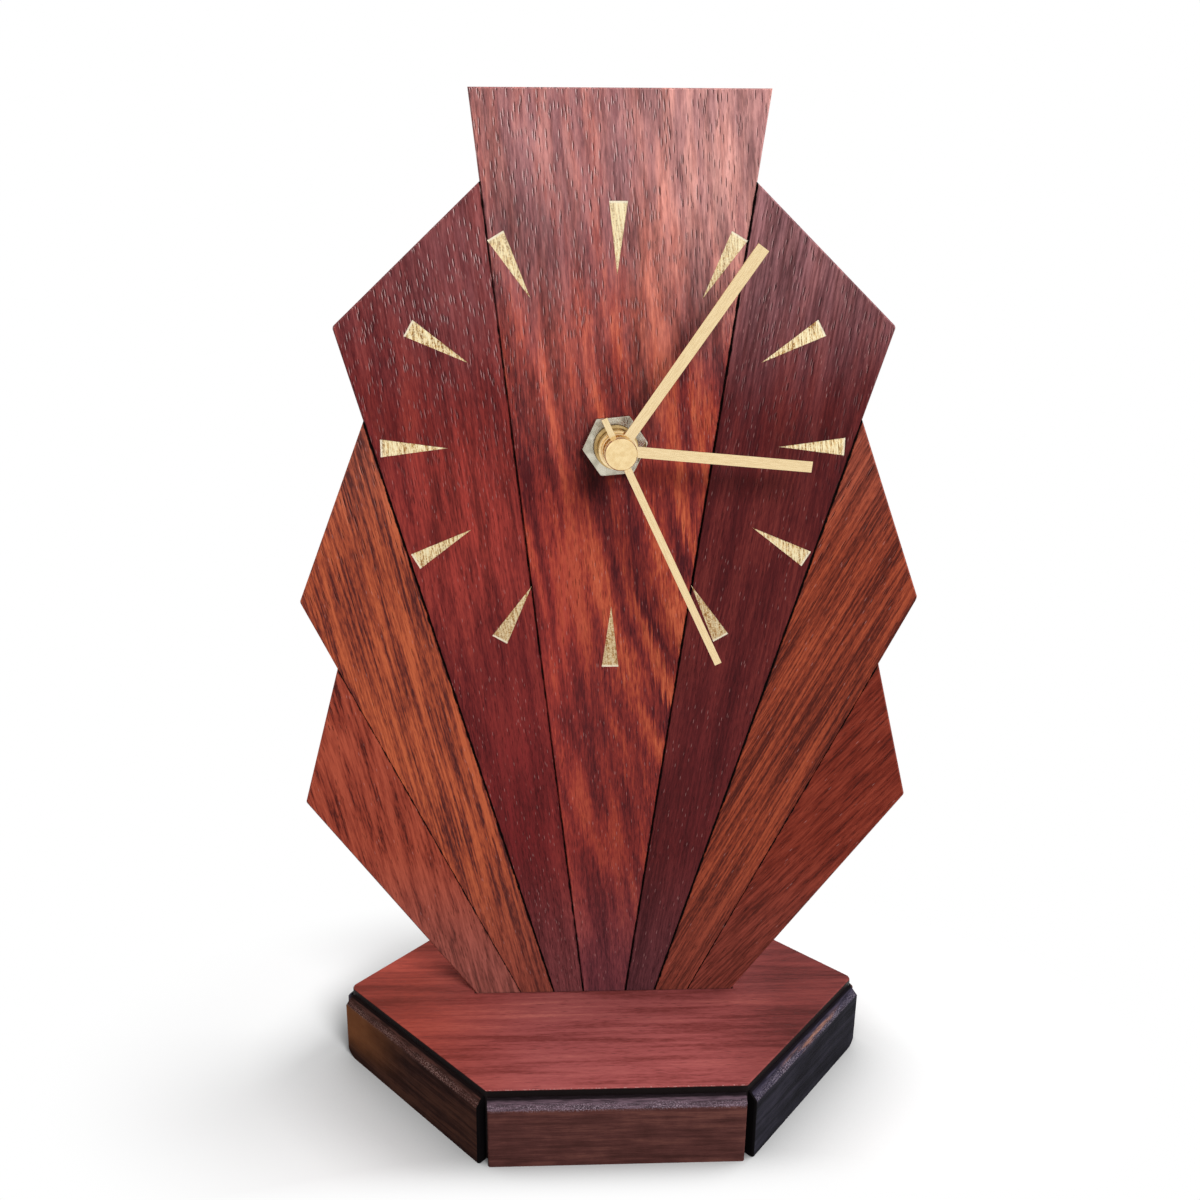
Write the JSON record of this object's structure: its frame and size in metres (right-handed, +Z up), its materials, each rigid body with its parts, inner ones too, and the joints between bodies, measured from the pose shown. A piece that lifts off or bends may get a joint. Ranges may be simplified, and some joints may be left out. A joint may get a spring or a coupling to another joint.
{
  "type": "wooden desk clock",
  "caption": "Free-standing wooden desk clock: a fan of wedge staves on a hexagonal base, with gilded hour marks, baton hands and a battery quartz movement behind.",
  "frame": {"origin": "middle of the base's underside", "axes": "+Z up along the panel, -Y out of the dial, +X to the right of someone who reads the dial"},
  "size_m": [0.1468, 0.0778, 0.2338],
  "materials": {
    "wood_centre": "satin oil, brown-red with orange and dark streaks",
    "wood_inner": "satin oil, dark maroon",
    "wood_middle": "satin oil, orange-brown with dark stripes",
    "wood_outer": "satin oil, red-brown with short flecks",
    "wood_base": "satin oil, red-brown with dark sides",
    "wood_strip": "dark stain, worn lighter along the bevel",
    "gilding": "grainy gold paint",
    "hand_gold": "brushed gold",
    "nickel": "satin nickel plate",
    "brass": "turned brass",
    "steel": "zinc plate",
    "case_plastic": "moulded black",
    "wheel_plastic": "moulded acetal",
    "rubber": "soft black",
    "copper": "enamelled wire",
    "circuit_board": "coated laminate",
    "cell_sleeve": "plain shrink sleeve"
  },
  "bodies": {
    "clock_body": {"base_plate": "wood_base", "stave_centre": "wood_centre", "hour_marks": "gilding", "threaded_bush": "brass", "hex_nut": "nickel", "rubber_washer": "rubber", "movement_case": "case_plastic", "rear_cover": "case_plastic", "train_plate": "wheel_plastic", "stator": "steel", "coil_core": "steel", "coil_bobbin": "wheel_plastic", "coil_winding": "copper", "circuit_board": "circuit_board", "quartz_crystal": "steel", "positive_contact": "nickel", "negative_contact": "nickel", "stave_inner_left": "wood_inner", "stave_middle_left": "wood_middle", "stave_outer_left": "wood_outer", "stave_inner_right": "wood_inner", "stave_middle_right": "wood_middle", "stave_outer_right": "wood_outer", "base_strip_front": "wood_strip", "base_strip_front_left": "wood_strip", "base_strip_front_right": "wood_strip", "base_strip_back": "wood_strip", "base_strip_back_left": "wood_strip", "base_strip_back_right": "wood_strip"},
    "second_hand_and_arbor": {"second_hand": "hand_gold", "second_hand_cap": "hand_gold", "seconds_wheel": "wheel_plastic"},
    "intermediate_wheel": {"intermediate_wheel": "wheel_plastic"},
    "rotor": {"rotor": "steel"},
    "third_wheel": {"third_wheel": "wheel_plastic"},
    "centre_wheel": {"centre_wheel": "wheel_plastic"},
    "minute_hand_and_pipe": {"minute_hand": "hand_gold", "minute_pipe": "brass"},
    "minute_wheel_and_knob": {"minute_wheel": "wheel_plastic", "setting_knob": "wheel_plastic"},
    "hour_hand_and_pipe": {"hour_hand": "hand_gold", "hour_wheel": "brass"},
    "battery": {"battery": "cell_sleeve"}
  },
  "joints": [
    {"name": "second_hand_turn", "type": "hinge", "parent": "clock_body", "child": "second_hand_and_arbor", "pos_m": [0, -0.0033, 0.1605], "axis": [0, 1, 0], "continuous": true},
    {"name": "intermediate_wheel_turn", "type": "hinge", "parent": "clock_body", "child": "intermediate_wheel", "pos_m": [0.00714, -0.0033, 0.1605], "axis": [0, 1, 0], "continuous": true},
    {"name": "rotor_turn", "type": "hinge", "parent": "clock_body", "child": "rotor", "pos_m": [0.01244, -0.0033, 0.16356], "axis": [0, 1, 0], "continuous": true},
    {"name": "third_wheel_turn", "type": "hinge", "parent": "clock_body", "child": "third_wheel", "pos_m": [-0.0081, -0.0033, 0.1605], "axis": [0, 1, 0], "continuous": true},
    {"name": "centre_wheel_turn", "type": "hinge", "parent": "clock_body", "child": "centre_wheel", "pos_m": [0, -0.0033, 0.1605], "axis": [0, 1, 0], "continuous": true},
    {"name": "minute_hand_turn", "type": "hinge", "parent": "clock_body", "child": "minute_hand_and_pipe", "pos_m": [0, -0.0033, 0.1605], "axis": [0, 1, 0], "continuous": true},
    {"name": "minute_wheel_turn", "type": "hinge", "parent": "clock_body", "child": "minute_wheel_and_knob", "pos_m": [0, -0.0033, 0.1691], "axis": [0, 1, 0], "continuous": true},
    {"name": "hour_hand_turn", "type": "hinge", "parent": "clock_body", "child": "hour_hand_and_pipe", "pos_m": [0, -0.0033, 0.1605], "axis": [0, 1, 0], "continuous": true},
    {"name": "battery_slide", "type": "slide", "parent": "clock_body", "child": "battery", "axis": [0, 1, 0], "range_m": [0, 0.02]}
  ],
  "couplings": [
    {"joint": "intermediate_wheel_turn", "follows": "second_hand_turn", "ratio": -6},
    {"joint": "rotor_turn", "follows": "second_hand_turn", "ratio": 30},
    {"joint": "third_wheel_turn", "follows": "second_hand_turn", "ratio": -0.13333},
    {"joint": "centre_wheel_turn", "follows": "second_hand_turn", "ratio": 0.016667},
    {"joint": "minute_wheel_turn", "follows": "minute_hand_turn", "ratio": -0.33333},
    {"joint": "hour_hand_turn", "follows": "minute_hand_turn", "ratio": 0.083333}
  ]
}
